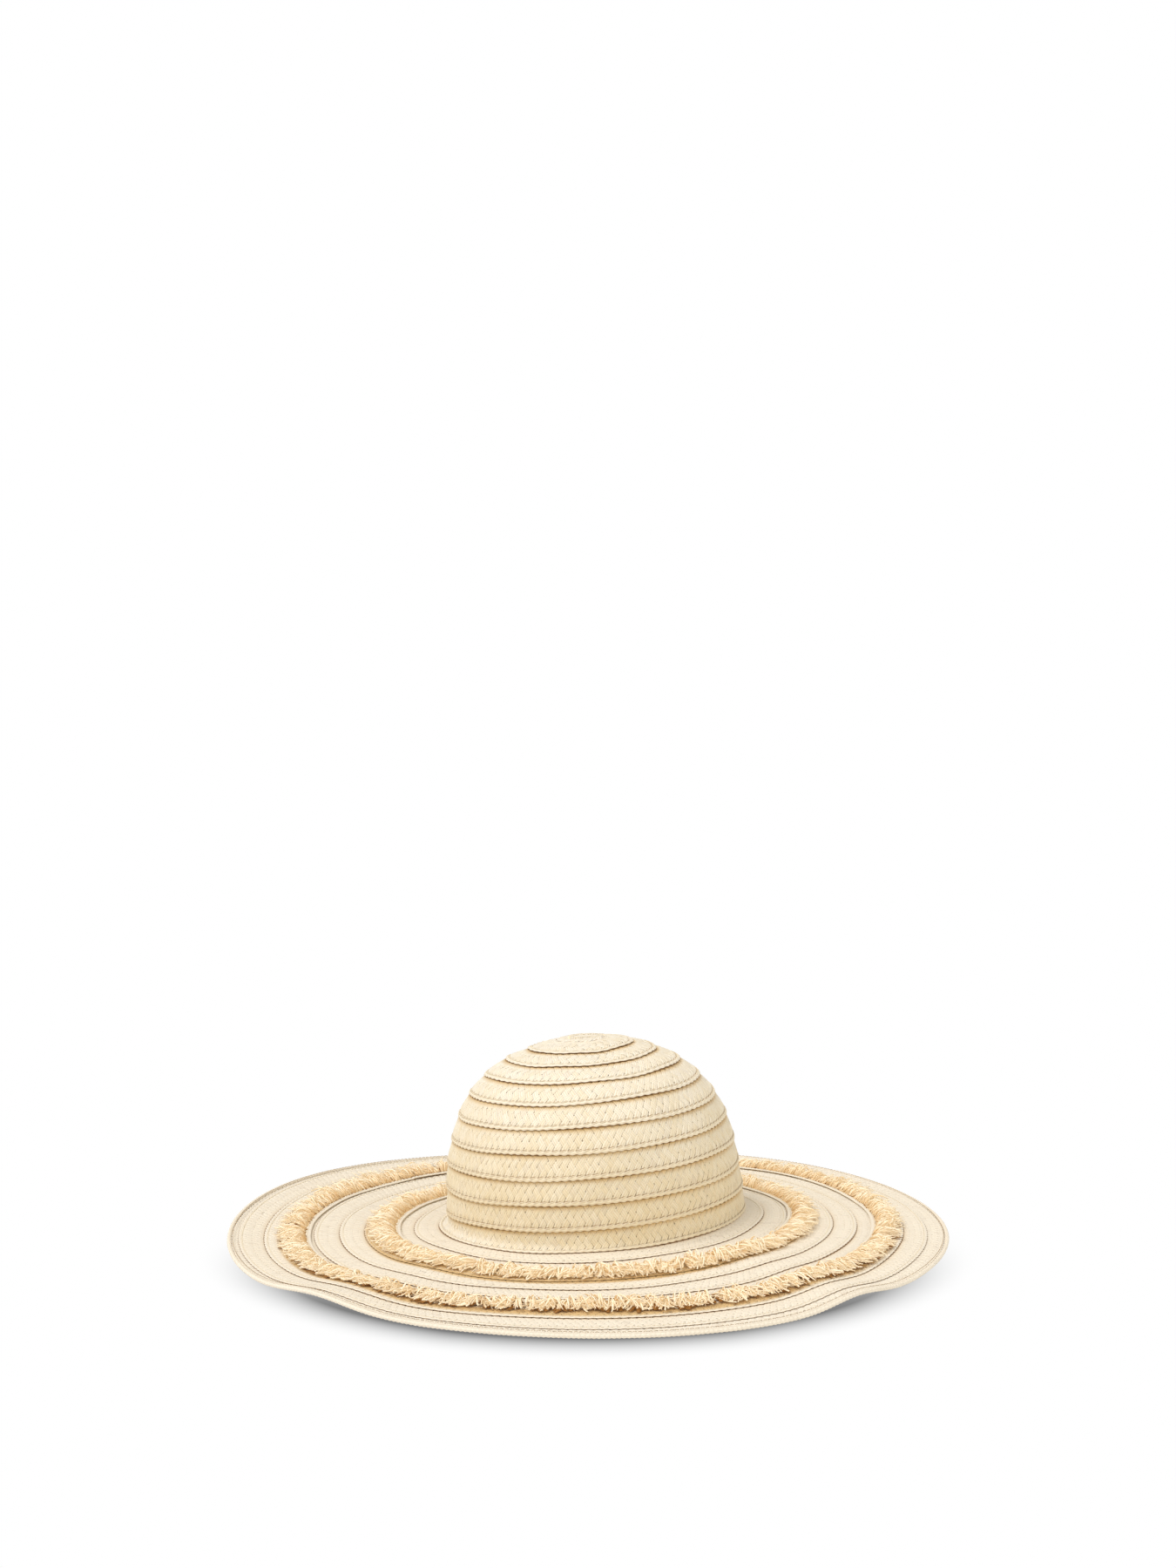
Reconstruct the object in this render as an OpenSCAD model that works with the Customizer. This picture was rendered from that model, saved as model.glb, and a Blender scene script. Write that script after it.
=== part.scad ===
// Wide-brimmed straw sun hat sewn from one flat plaited braid.
// The braid spirals down from the tip, over the crown and out to the brim edge.
// +Z is up, the hat stands on its brim, and X runs along the long way of the head opening.

/* [Crown] */
// Half width of the crown at its foot, along the long way of the head
crown_half_x = 93.5; // [88:0.5:104]
// Half width of the crown at its foot, along the short way of the head
crown_half_y = 89.5; // [84:0.5:100]
// Height of the dome above the table, without the swell of the tip
crown_top = 126.5; // [110:0.5:140]
// Swell of the tip above the dome, and the radius that it spreads over
tip_rise = 4; // [0:0.5:5]
tip_reach = 45; // [35:1:55]
// Height above the table at which the dome would close under itself
dome_base = 4; // [0:1:8]
// How square the dome is: 2 is an ellipse, larger is squarer
dome_power = 2.8; // [2.2:0.1:3.2]
// Height of the foot of the crown wall, where the bend into the brim begins
foot_height = 20.5; // [17:0.5:28]
// Radius of the bend between the crown and the brim
bend_radius = 8; // [5:1:12]
// Angle at which the soft crown leans towards -X
crown_lean = 3; // [0:0.5:4]
// Distance of the middle of the crown's foot from the middle of the brim, towards +X
crown_aside = 4.5; // [0:0.5:6]

/* [Brim] */
// Width of the brim, from the crown wall to its outer edge
brim_width = 137.5; // [110:0.5:160]
// Height lost by the brim between the bend and its edge
brim_drop = 7; // [5:0.5:11]
// How much of the drop comes close to the crown
brim_ease = 1.6; // [1.2:0.1:2.4]
// Size of the soft waves of the edge, as a share of their usual height
wave_size = 1; // [0:0.1:1.2]

/* [Braid] */
// Turns of braid from the first full round of the tip to the edge
braid_turns = 17.75; // [15.75:1:19.75]
// Distance along the crown from its centre to the edge of the first round
first_round = 28.6; // [24:0.2:32]
// Width of each round that the next one hides
overlap = 4; // [3:0.5:5]
// Thickness of the braid
braid_thick = 1.1; // [0.8:0.1:1.4]
// Distance of the stitching from the lower edge of each round
stitch_in = 2.6; // [1.5:0.1:3]

/* [Fringes] */
// Distance of the inner fringe's tape from the crown wall
inner_fringe_at = 31; // [24:1:36]
// Distance of the outer fringe's tape from the crown wall
outer_fringe_at = 86.5; // [76:0.5:92]
// Width of the tape that holds the fibres
tape_width = 4; // [3:0.5:6]
// Length of the loose fibres
fringe_length = 16.5; // [10:0.5:20]

/* [Sweatband and label] */
// Height of the sweatband
band_height = 28; // [20:1:34]
// Thickness of the sweatband
band_thick = 1; // [0.6:0.1:1.2]
// Width of the blank care label
label_width = 18; // [12:1:22]
// Length of the label's free flap
label_length = 26; // [16:1:26]

/* [Hidden] */

// Steps in one turn of braid. Every round shares the same steps, so rounds never cross.
segs = 40;
// Air left between rounds that lie on each other
gap = 0.1;
// Height of the stitches above what they lie on, and their half width
thread_high = 0.5;
thread_half = 0.35;
lift = 0.03;
crown_steps = 40;
bend_steps = 8;
brim_steps = 20;
// Soft waves of the edge: how many go round it, their height, and the angle of a crest times that
edge_waves = [[1, 3.5, 90], [2, 2, -17.5], [3, 1.3, 90], [4, 1, -114]];
// Places where the edge lifts further: their angle, half the angle they spread over, and height
edge_lifts = [[-47, 7.5, 5.5], [-133.5, 10, 6]];

// The crown's mean half width, which the cross-section of the hat is drawn with
mean_half = (crown_half_x + crown_half_y) / 2;
dome_high = crown_top - dome_base;
dome_end = acos(pow((foot_height - dome_base) / dome_high, dome_power / 2));

// Radii of the rolled edge, of the channel inside it, and of the wire and sleeve in the channel
roll_r = 1.5;
channel_r = 0.85;
wire_r = 0.4;
sleeve_r = 0.7;
// Air between the rolled edge and the last round
roll_gap = 0.05;
// Height of the middle of the roll above the underside of the braid
roll_high = 0.9;
// How far the roll wraps round to each side. The rest is open, towards the crown.
roll_wrap = 150;
// The sleeve's two ends, as shares of one step round the edge, and its play on the wire
sleeve_from = 0.32;
sleeve_to = 0.68;
sleeve_play = 0.02;
edge_reach = brim_width - 2 * roll_r - roll_gap;

// Cross-section of the hat, as [radius, height] from the centre of the tip to the edge
dome_points = [for (i = [0 : crown_steps])
    let (u = dome_end * i / crown_steps,
         r = mean_half * pow(sin(u), 2 / dome_power),
         swell = tip_rise * pow(1 - min(1, pow(r / tip_reach, 2)), 2))
    [r, dome_base + dome_high * pow(cos(u), 2 / dome_power) + swell]];
foot_r = dome_points[crown_steps][0];
brim_run = edge_reach - bend_radius;
bend_sweep = 90 - atan(brim_ease * brim_drop / brim_run);
bend_points = [for (i = [1 : bend_steps])
    let (u = bend_sweep * i / bend_steps)
    [foot_r + bend_radius * (1 - cos(u)), foot_height - bend_radius * sin(u)]];
bend_end = bend_points[bend_steps - 1];
brim_end_r = mean_half + edge_reach;
brim_points = [for (i = [1 : brim_steps])
    let (v = i / brim_steps)
    [bend_end[0] + v * (brim_end_r - bend_end[0]),
     bend_end[1] - brim_drop * (1 - pow(1 - v, brim_ease))]];
section = concat(dome_points, bend_points, brim_points);
last = len(section) - 1;

// Length along the cross-section up to each of its points
function lengths(i, sum) = i > last ? [] :
    let (s = i == 0 ? 0 : sum + norm(section[i] - section[i - 1]))
    concat([s], lengths(i + 1, s));
run = lengths(0, 0);
r_table = [for (i = [0 : last]) [run[i], section[i][0]]];
z_table = [for (i = [0 : last]) [run[i], section[i][1]]];
foot_s = run[crown_steps];
bend_s = run[crown_steps + bend_steps];
edge_s = run[last];

pitch = (edge_s - first_round) / braid_turns;
braid_width = pitch + overlap;
// Rounds lie like shingles: each rises by its own thickness over one pitch
slope = (braid_thick + gap) / pitch;
braid_top = slope * braid_width + braid_thick;
last_turn = braid_turns;

// Turns at which the braid passes from one section of the hat to the next, all at the back
crown_turn = 9.75;
inner_turn = 11.75;
middle_turn = 14.75;

function along(s) = [lookup(s, r_table), lookup(s, z_table)];
function outward(s) =
    let (a = along(max(s - 0.5, 0)), b = along(min(s + 0.5, edge_s)), d = (b - a) / norm(b - a))
    [-d[1], d[0]];

function total(list, i = 0) = i == len(list) ? 0 : list[i] + total(list, i + 1);
// Angle between two directions, the short way round
function apart(a, b) = abs(((a - b) % 360 + 540) % 360 - 180);
function edge_wave(phi) = wave_size * (
    total([for (w = edge_waves) w[1] * cos(w[0] * phi - w[2])]) +
    total([for (l = edge_lifts) l[2] * exp(-pow(apart(phi, l[0]) / l[1], 2))]));
// Share of the way over the brim, from 0 on the crown to 1 at the edge
function brim_share(r) = max(0, min(1, (r - mean_half) / edge_reach));

// Point on the hat at an angle, a length along the cross-section and a height above it
function spot(phi, s, high) =
    let (m = along(s), n = outward(s), r = m[0] + high * n[0], z = m[1] + high * n[1])
    let (kx = r <= mean_half ? crown_half_x * r / mean_half : crown_half_x + r - mean_half)
    let (ky = r <= mean_half ? crown_half_y * r / mean_half : crown_half_y + r - mean_half)
    let (x = kx * cos(phi), share = brim_share(r), lean = tan(crown_lean) * (1 - share))
    [x + crown_aside * (1 - share) - lean * (z - foot_height), ky * sin(phi),
     z + lean * x + edge_wave(phi) * pow(share, 2)];

// The spiral: the lower edge of the braid after a number of turns, clockwise from +X
function angle(t) = -360 * t;
function low_edge(t) = min(first_round + pitch * t, edge_s);
// The last turn slides under the one before it, and so doubles the brim's edge
function tuck(t) = -(braid_thick + gap) * max(0, t - last_turn);
function braid_high(t, s) = slope * (s - (low_edge(t) - braid_width)) + tuck(t);
function braid_spot(t, s, up) = spot(angle(t), s, braid_high(t, s) + up);
function braid_ring(t) =
    let (b = low_edge(t), a = max(b - braid_width, 1), w = [a, a + overlap, b - overlap, b])
    concat([for (s = w) braid_spot(t, s, 0)],
           [for (i = [3 : -1 : 0]) braid_spot(t, w[i], braid_thick)]);

// Stitches lie on the overlap, on the flat between its two edges
function stitch_ring(t) =
    let (b = low_edge(t), p = braid_spot(t, b - overlap, braid_thick),
         q = braid_spot(t, b, braid_thick), n = outward(b), f = 1 - stitch_in / overlap,
         g = thread_half / overlap, up = braid_spot(t, b, braid_thick + 1) - q)
    [p + (q - p) * (f - g) + up * lift, p + (q - p) * (f + g) + up * lift,
     p + (q - p) * f + up * (lift + thread_high)];

// Solid swept through a list of rings of points, with flat ends or closed on itself
module sweep(rings, closed = false) {
    k = len(rings[0]);
    n = len(rings);
    sides = [for (i = [0 : closed ? n - 1 : n - 2], j = [0 : k - 1])
        let (i2 = (i + 1) % n, j2 = (j + 1) % k)
        each [[i * k + j, i2 * k + j, i2 * k + j2], [i * k + j, i2 * k + j2, i * k + j2]]];
    ends = closed ? [] : [[for (j = [0 : k - 1]) j], [for (j = [k - 1 : -1 : 0]) (n - 1) * k + j]];
    polyhedron(points = [for (r = rings) each r], faces = concat(sides, ends), convexity = 12);
}

module braid(from, to) {
    sweep([for (i = [from * segs : to * segs]) braid_ring(i / segs)]);
}

module braid_stitches(from, to) {
    sweep([for (i = [from * segs : to * segs]) stitch_ring(i / segs)]);
}

// Closed ring round the hat: a cross-section of [length along the hat, height] points
module ring(shape) {
    sweep([for (i = [0 : segs - 1]) [for (p = shape) spot(angle(i / segs), p[0], p[1])]], true);
}

// Ring of stitches on a flat between two lengths along the hat, part of the way from the first
module ring_stitches(s0, s1, high, up = 1, part = 0.5) {
    sweep([for (i = [0 : segs - 1])
        let (phi = angle(i / segs), p = spot(phi, s0, high), q = spot(phi, s1, high),
             n = spot(phi, (s0 + s1) / 2, high + up) - spot(phi, (s0 + s1) / 2, high),
             g = thread_half / norm(q - p), a = p + (q - p) * (part - g),
             b = p + (q - p) * (part + g), c = p + (q - p) * part)
        up > 0 ? [a + n * lift, b + n * lift, c + n * (lift + thread_high)]
               : [b + n * lift, a + n * lift, c + n * (lift + thread_high)]], true);
}

// Fringe sizes: the tape lies clear of the stitches below it
tape_low = braid_top + thread_high + 0.1;
tape_thick = 0.6;
fringe_rise = 1.2;
function brim_s(reach) = bend_s + reach + mean_half - bend_end[0];

module tape(at) {
    s = brim_s(at);
    ring([[s, tape_low], [s + tape_width, tape_low],
          [s + tape_width, tape_low + tape_thick], [s, tape_low + tape_thick]]);
}

module fringe(at) {
    s = brim_s(at) + tape_width;
    ring([[s, tape_low], [s + fringe_length, tape_low + fringe_rise],
          [s + fringe_length, tape_low + fringe_rise + 1], [s, tape_low + tape_thick]]);
}

module tape_stitches(at) {
    s = brim_s(at);
    ring_stitches(s, s + tape_width, tape_low + tape_thick);
}

// Length, height and width of the short strip of braid across the middle of the tip
tip_long = 21;
tip_lift = 2.5;
tip_wide = pitch;

// Places the tip's strip, which leans with the crown
module on_tip() {
    translate(spot(0, 0, tip_lift)) rotate([0, -crown_lean, 0]) children();
}

module crown_tip_braid() {
    color("#f3e6c8")
    on_tip()
        translate([0, 0, braid_thick / 2])
            cube([tip_long, tip_wide, braid_thick], center = true);
}

module crown_tip_thread() {
    inset = 2 * stitch_in;
    color("#e9d3a2")
    on_tip()
        translate([0, 0, braid_thick])
            linear_extrude(thread_high)
                difference() {
                    square([tip_long - inset, tip_wide - inset], center = true);
                    square([tip_long - inset - 2 * thread_half, tip_wide - inset - 2 * thread_half],
                           center = true);
                }
}

module crown_braid() {
    color("#efe0c0") braid(-1, crown_turn);
}

module crown_thread() {
    color("#dfc898") braid_stitches(-0.5, crown_turn);
}

module brim_braid_inner() {
    color("#efe0c0") braid(crown_turn, inner_turn);
}

module brim_thread_inner() {
    color("#dfc898") braid_stitches(crown_turn, inner_turn);
}

module fringe_tape_inner() {
    color("#e6cf9d") tape(inner_fringe_at);
}

module fringe_inner() {
    color("#d9ae66") fringe(inner_fringe_at);
}

module fringe_thread_inner() {
    color("#dfc898") tape_stitches(inner_fringe_at);
}

module brim_braid_middle() {
    color("#f1e4c6") braid(inner_turn, middle_turn);
}

module brim_thread_middle() {
    color("#dfc898") braid_stitches(inner_turn, middle_turn);
}

module fringe_tape_outer() {
    color("#e6cf9d") tape(outer_fringe_at);
}

module fringe_outer() {
    color("#d9ae66") fringe(outer_fringe_at);
}

module fringe_thread_outer() {
    color("#dfc898") tape_stitches(outer_fringe_at);
}

module brim_braid_outer() {
    color("#f1e4c6") braid(middle_turn, last_turn + 1);
}

module brim_thread_outer() {
    color("#dfc898") braid_stitches(middle_turn, last_turn);
}

// Middle of the rolled edge, where the wire runs
function edge_spot(i) =
    let (phi = angle(i / segs), p = spot(phi, edge_s, roll_high))
    p + (roll_r + roll_gap) * [cos(phi), sin(phi), 0];
// Ring of points round the middle of the edge, from one angle to another
function edge_ring(c, phi, r, from, to, n) = [for (j = [0 : n])
    let (u = from + (to - from) * j / n)
    c + r * [cos(phi) * cos(u), sin(phi) * cos(u), sin(u)]];

// The rolled lip is open towards the crown, where its two sides are sewn to the last round
module edge_roll() {
    color("#efe0c0")
    sweep([for (i = [0 : segs - 1])
        let (c = edge_spot(i), phi = angle(i / segs))
        concat(edge_ring(c, phi, roll_r, -roll_wrap, roll_wrap, 6),
               edge_ring(c, phi, channel_r, roll_wrap, -roll_wrap, 6))], true);
}

module edge_thread() {
    color("#dfc898")
    ring_stitches(edge_s - 2, edge_s, braid_top);
}

function wire_ring(c, phi, r, n) = [for (j = [0 : n - 1])
    let (u = 360 * j / n)
    c + r * [cos(phi) * cos(u), sin(phi) * cos(u), sin(u)]];

module brim_wire() {
    color("silver")
    sweep([for (i = [0 : segs - 1]) wire_ring(edge_spot(i), angle(i / segs), wire_r, 6)], true);
}

// Crimped sleeve over the wire's two ends, on a straight stretch at the back
module wire_sleeve() {
    back = segs * 3 / 4;
    a = edge_spot(back);
    b = edge_spot(back + 1);
    phi = angle((back + 0.5) / segs);
    ends = [a + (b - a) * sleeve_from, a + (b - a) * sleeve_to];
    outer = [for (e = ends) wire_ring(e, phi, sleeve_r, 8)];
    // The bore is cut a little longer than the sleeve
    past = (b - a) * 0.01;
    bore = [wire_ring(ends[0] - past, phi, wire_r + sleeve_play, 6),
            wire_ring(ends[1] + past, phi, wire_r + sleeve_play, 6)];
    color("#9a9a9a")
    difference() {
        sweep(outer);
        sweep(bore);
    }
}

// Sweatband: a ribbon ring inside the foot of the crown
band_gap = 0.5;
band_low_s = foot_s - 2;
band_out = -band_gap;
band_in = -band_gap - band_thick;

module sweatband() {
    s = [band_low_s, band_low_s - band_height / 2, band_low_s - band_height];
    color("#f2ead6")
    ring([[s[0], band_in], [s[0], band_out], [s[1], band_out],
          [s[2], band_out], [s[2], band_in], [s[1], band_in]]);
}

module sweatband_thread() {
    color("#e6dcc0")
    ring_stitches(band_low_s - band_height / 2, band_low_s, band_in, -1, 0.85);
}

// The label hangs straight down from its hinge line, at the back of the band
label_thick = 0.5;
tab_high = 4;
// Air between the flap and the tab above it, and between the tab and the band behind it
tab_gap = 0.15;
tab_clear = 0.35;
// Distance of the label's stitches from its sides
label_inset = 2;
label_top_s = band_low_s - band_height + tab_high + 2;
hinge_x = spot(90, label_top_s, band_in)[0];
hinge_z = spot(90, label_top_s, band_in)[2];
// Inner face of the band behind the tab's upper edge. The band leans in as it rises.
tab_back = spot(90, label_top_s - tab_high - 1, band_in)[1];
band_turn = sin(180 / segs);
hinge_y = tab_back - band_turn * label_width / 2 - tab_clear - label_thick / 2;

module label_tab() {
    color("white")
    translate([hinge_x - label_width / 2, hinge_y - label_thick / 2,
               hinge_z + label_thick / 2 + tab_gap])
        cube([label_width, label_thick, tab_high]);
}

module label() {
    color("white") {
        translate([hinge_x - label_width / 2, hinge_y, hinge_z]) rotate([0, 90, 0])
            cylinder(d = label_thick, h = label_width, $fn = 24);
        translate([hinge_x - label_width / 2, hinge_y - label_thick / 2, hinge_z - label_length])
            cube([label_width, label_thick, label_length]);
    }
}

module label_thread() {
    wide = label_width - 2 * label_inset;
    reach = tab_back - band_turn * wide / 2 - (hinge_y + label_thick / 2);
    color("#c9c2b0")
    translate([hinge_x - wide / 2, hinge_y + label_thick / 2, hinge_z + tab_gap + tab_high / 2])
        cube([wide, reach, 2 * thread_half]);
}

crown_tip_braid();
crown_tip_thread();
crown_braid();
crown_thread();
brim_braid_inner();
brim_thread_inner();
fringe_tape_inner();
fringe_inner();
fringe_thread_inner();
brim_braid_middle();
brim_thread_middle();
fringe_tape_outer();
fringe_outer();
fringe_thread_outer();
brim_braid_outer();
brim_thread_outer();
edge_roll();
edge_thread();
brim_wire();
wire_sleeve();
sweatband();
sweatband_thread();
label_tab();
label();
label_thread();
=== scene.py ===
"""Straw sun hat: plaited braid, raffia fringes, rolled edge, sweatband and label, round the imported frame.

Lengths are in metres unless a name ends in _mm. The braid is laid out in its own flat
coordinates, how far along it and how far across it, and then wound onto the hat.
"""
import math
from typing import NamedTuple

import bpy
import numpy as np
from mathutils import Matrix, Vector


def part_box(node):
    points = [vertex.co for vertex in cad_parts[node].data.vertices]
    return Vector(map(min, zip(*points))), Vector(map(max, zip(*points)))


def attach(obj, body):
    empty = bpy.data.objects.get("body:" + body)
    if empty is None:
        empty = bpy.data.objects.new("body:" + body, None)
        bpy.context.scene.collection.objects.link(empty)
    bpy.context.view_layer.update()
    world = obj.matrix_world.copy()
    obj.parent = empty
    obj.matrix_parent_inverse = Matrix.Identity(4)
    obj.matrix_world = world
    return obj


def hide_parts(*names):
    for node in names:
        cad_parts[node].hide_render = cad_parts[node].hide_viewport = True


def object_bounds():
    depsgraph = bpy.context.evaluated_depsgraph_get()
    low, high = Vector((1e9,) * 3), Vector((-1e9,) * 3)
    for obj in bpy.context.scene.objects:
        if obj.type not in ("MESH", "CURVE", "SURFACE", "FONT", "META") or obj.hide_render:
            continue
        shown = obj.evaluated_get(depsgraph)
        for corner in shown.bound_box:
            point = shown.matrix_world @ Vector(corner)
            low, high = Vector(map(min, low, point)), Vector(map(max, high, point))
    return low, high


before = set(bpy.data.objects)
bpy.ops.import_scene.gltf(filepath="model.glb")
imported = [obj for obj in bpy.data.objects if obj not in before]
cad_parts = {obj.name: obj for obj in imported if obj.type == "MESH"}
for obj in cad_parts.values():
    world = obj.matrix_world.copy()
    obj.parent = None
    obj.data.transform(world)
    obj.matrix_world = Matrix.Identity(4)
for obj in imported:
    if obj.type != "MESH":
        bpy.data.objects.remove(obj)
cad_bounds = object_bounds()
MM = 0.001

# ---------------------------------------------------------------- camera, floor and light
SENSOR_MM = 36.0
LENS_MM = 71.413
ELEVATION = math.radians(12.9)
DISTANCE = 1.5
AIM = Vector((0.0, 0.0, 0.044))
SHIFT = (0.0, 0.329)          # the hat stands low in the frame
SHADE_AHEAD = 0.012           # distance of the floor's shade ahead of the hat's middle
SHADE_DEPTH = 0.66            # share of the light that the shade takes at the front edge


def add_camera():
    data = bpy.data.cameras.new("camera")
    data.sensor_fit = "HORIZONTAL"
    data.sensor_width = SENSOR_MM
    data.lens = LENS_MM
    data.shift_x, data.shift_y = SHIFT
    data.clip_end = 50.0
    camera = bpy.data.objects.new("camera", data)
    bpy.context.scene.collection.objects.link(camera)
    back = Vector((0.0, -math.cos(ELEVATION), math.sin(ELEVATION)))
    camera.location = AIM + DISTANCE * back
    camera.rotation_euler = (math.pi / 2 - ELEVATION, 0.0, 0.0)
    bpy.context.scene.camera = camera


def sun(name, towards, size_deg, power, colour):
    data = bpy.data.lights.new(name, "SUN")
    data.angle = math.radians(size_deg)
    data.energy = power
    data.color = colour
    light = bpy.data.objects.new(name, data)
    light.rotation_euler = Vector(towards).to_track_quat("-Z", "Y").to_euler()
    bpy.context.scene.collection.objects.link(light)


def node(tree, kind, inputs=None, **settings):
    """A shader node with its settings, and inputs given as values or as sockets to link."""
    made = tree.nodes.new(kind)
    for key, value in settings.items():
        setattr(made, key, value)
    for key, value in (inputs or {}).items():
        if isinstance(value, bpy.types.NodeSocket):
            tree.links.new(value, made.inputs[key])
        else:
            made.inputs[key].default_value = value
    return made


def maths(tree, operation, a, b=0.0, c=0.0):
    made = node(tree, "ShaderNodeMath", {0: a, 1: b, 2: c}, operation=operation)
    return made.outputs[0]


def ramp(tree, factor, low, high, start=0.0, end=1.0, smooth=False):
    """Turns a value between low and high into one between start and end."""
    made = node(tree, "ShaderNodeMapRange", {
        "Value": factor, "From Min": low, "From Max": high, "To Min": start, "To Max": end})
    made.clamp = True
    if smooth:
        made.interpolation_type = "SMOOTHSTEP"
    return made.outputs["Result"]


def distance(tree, a, b):
    """Length of the vector (a, b)."""
    squares = [maths(tree, "MULTIPLY", v, v) for v in (a, b)]
    return maths(tree, "SQRT", maths(tree, "ADD", *squares))


def add_stage():
    """A white paper floor. The camera sees it pure white, with painted shade close round the hat's front."""
    half, z = 40.0, cad_bounds[0][2]
    mesh = bpy.data.meshes.new("floor")
    corners = [(-half, -half, z), (half, -half, z), (half, half, z), (-half, half, z)]
    mesh.from_pydata(corners, [], [(0, 1, 2, 3)])
    floor = bpy.data.objects.new("floor", mesh)
    bpy.context.scene.collection.objects.link(floor)
    material = bpy.data.materials.new("floor_paper")
    material.use_nodes = True
    tree = material.node_tree
    surface = tree.nodes["Principled BSDF"]
    surface.inputs["Base Color"].default_value = (0.92, 0.92, 0.92, 1)
    surface.inputs["Roughness"].default_value = 0.9
    place = node(tree, "ShaderNodeNewGeometry").outputs["Position"]
    x, y, _ = node(tree, "ShaderNodeSeparateXYZ", {0: place}).outputs
    # How far out from the hat's middle, as a share of its half size, with the shade a little to the front
    across = maths(tree, "DIVIDE", x, cad_bounds[1][0])
    deep = maths(tree, "DIVIDE", maths(tree, "ADD", y, SHADE_AHEAD), cad_bounds[1][1])
    out = distance(tree, across, deep)
    # The shade is narrower at the sides, and deepest where the brim lifts off the floor
    out = maths(tree, "ADD", out, ramp(tree, maths(tree, "ABSOLUTE", across), 0.35, 0.75, 0.0, 0.03))
    near = maths(tree, "POWER", ramp(tree, out, 1.11, 0.895, 0.0, 1.38), 2.0)
    near = maths(tree, "MINIMUM", near, 1.2)
    front = ramp(tree, deep, 0.10, -0.75, 0.10, 1.0, smooth=True)
    # Painted shadow on the floor, deepest at the hat's front edge
    shade = maths(tree, "MULTIPLY", maths(tree, "MULTIPLY", near, SHADE_DEPTH), front)
    grey = maths(tree, "SUBTRACT", 1.0, shade)
    glow = node(tree, "ShaderNodeEmission", {"Strength": grey})
    seen = node(tree, "ShaderNodeLightPath").outputs["Is Camera Ray"]
    both = node(tree, "ShaderNodeMixShader", {0: seen, 1: surface.outputs[0], 2: glow.outputs[0]})
    tree.links.new(both.outputs[0], tree.nodes["Material Output"].inputs["Surface"])
    mesh.materials.append(material)


def add_light():
    """Soft light from the upper left and front, in a white room."""
    world = bpy.data.worlds.new("studio")
    world.use_nodes = True
    tree = world.node_tree
    seen = node(tree, "ShaderNodeLightPath").outputs["Is Camera Ray"]
    background = tree.nodes["Background"]
    made = node(tree, "ShaderNodeMix", {0: seen, 6: (1.0, 0.97, 0.915, 1), 7: (1.0, 1.0, 1.0, 1)},
                data_type="RGBA")
    tree.links.new(made.outputs[2], background.inputs["Color"])
    tree.links.new(ramp(tree, seen, 0.0, 1.0, 0.56, 1.0), background.inputs["Strength"])
    bpy.context.scene.world = world
    sun("key", (0.56, 0.12, -1.1), 36, 1.79, (1.0, 0.985, 0.985))
    sun("front", (-0.25, 1.0, -0.45), 75, 0.63, (1.0, 0.975, 0.925))
    sun("left", (1.0, 0.4, -0.4), 60, 0.37, (0.80, 0.85, 1.0))
    sun("right", (-1.0, 0.4, -0.4), 60, 0.42, (1.0, 0.96, 0.88))
    bpy.context.scene.view_settings.view_transform = "Standard"


add_camera()
add_stage()
add_light()

# ---------------------------------------------------------------- the hat's own shape
CROWN_HALF_X = 0.0935
CROWN_HALF_Y = 0.0895
MEAN_HALF = (CROWN_HALF_X + CROWN_HALF_Y) / 2
CROWN_TOP = 0.1265
TIP_RISE = 0.004
TIP_REACH = 0.045
DOME_BASE = 0.004
DOME_POWER = 2.8
FOOT_HEIGHT = 0.0205
BEND_RADIUS = 0.008
CROWN_LEAN = math.tan(math.radians(3))
CROWN_ASIDE = 0.0045
BRIM_WIDTH = 0.1375
BRIM_DROP = 0.007
BRIM_EASE = 1.6
# Soft waves of the edge: how many go round it, their height, and the angle of a crest times that
EDGE_WAVES = [(1, 0.0035, 90), (2, 0.002, -17.5), (3, 0.0013, 90), (4, 0.001, -114)]
# Places where the edge lifts further: angle, half the angle they spread over, and height
EDGE_LIFTS = [(-47, 7.5, 0.0055), (-133.5, 10, 0.006)]
ROLL_RADIUS = 0.0015
ROLL_GAP = 0.05 * MM
EDGE_REACH = BRIM_WIDTH - 2 * ROLL_RADIUS - ROLL_GAP

BRAID_TURNS = 17.75
FIRST_ROUND = 0.0286
OVERLAP = 0.004
BRAID_THICK = 1.1 * MM
ROUND_GAP = 0.1 * MM
STITCH_IN = 2.6 * MM
CROWN_TURN, INNER_TURN, MIDDLE_TURN = 9.75, 11.75, 14.75
TAPE_WIDTH = 0.004
INNER_FRINGE_AT = 0.031
OUTER_FRINGE_AT = 0.0865
TIPS_AT = 0.012               # distance from a tape to the tips of its fibres
DOME_STEPS = 400


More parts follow.
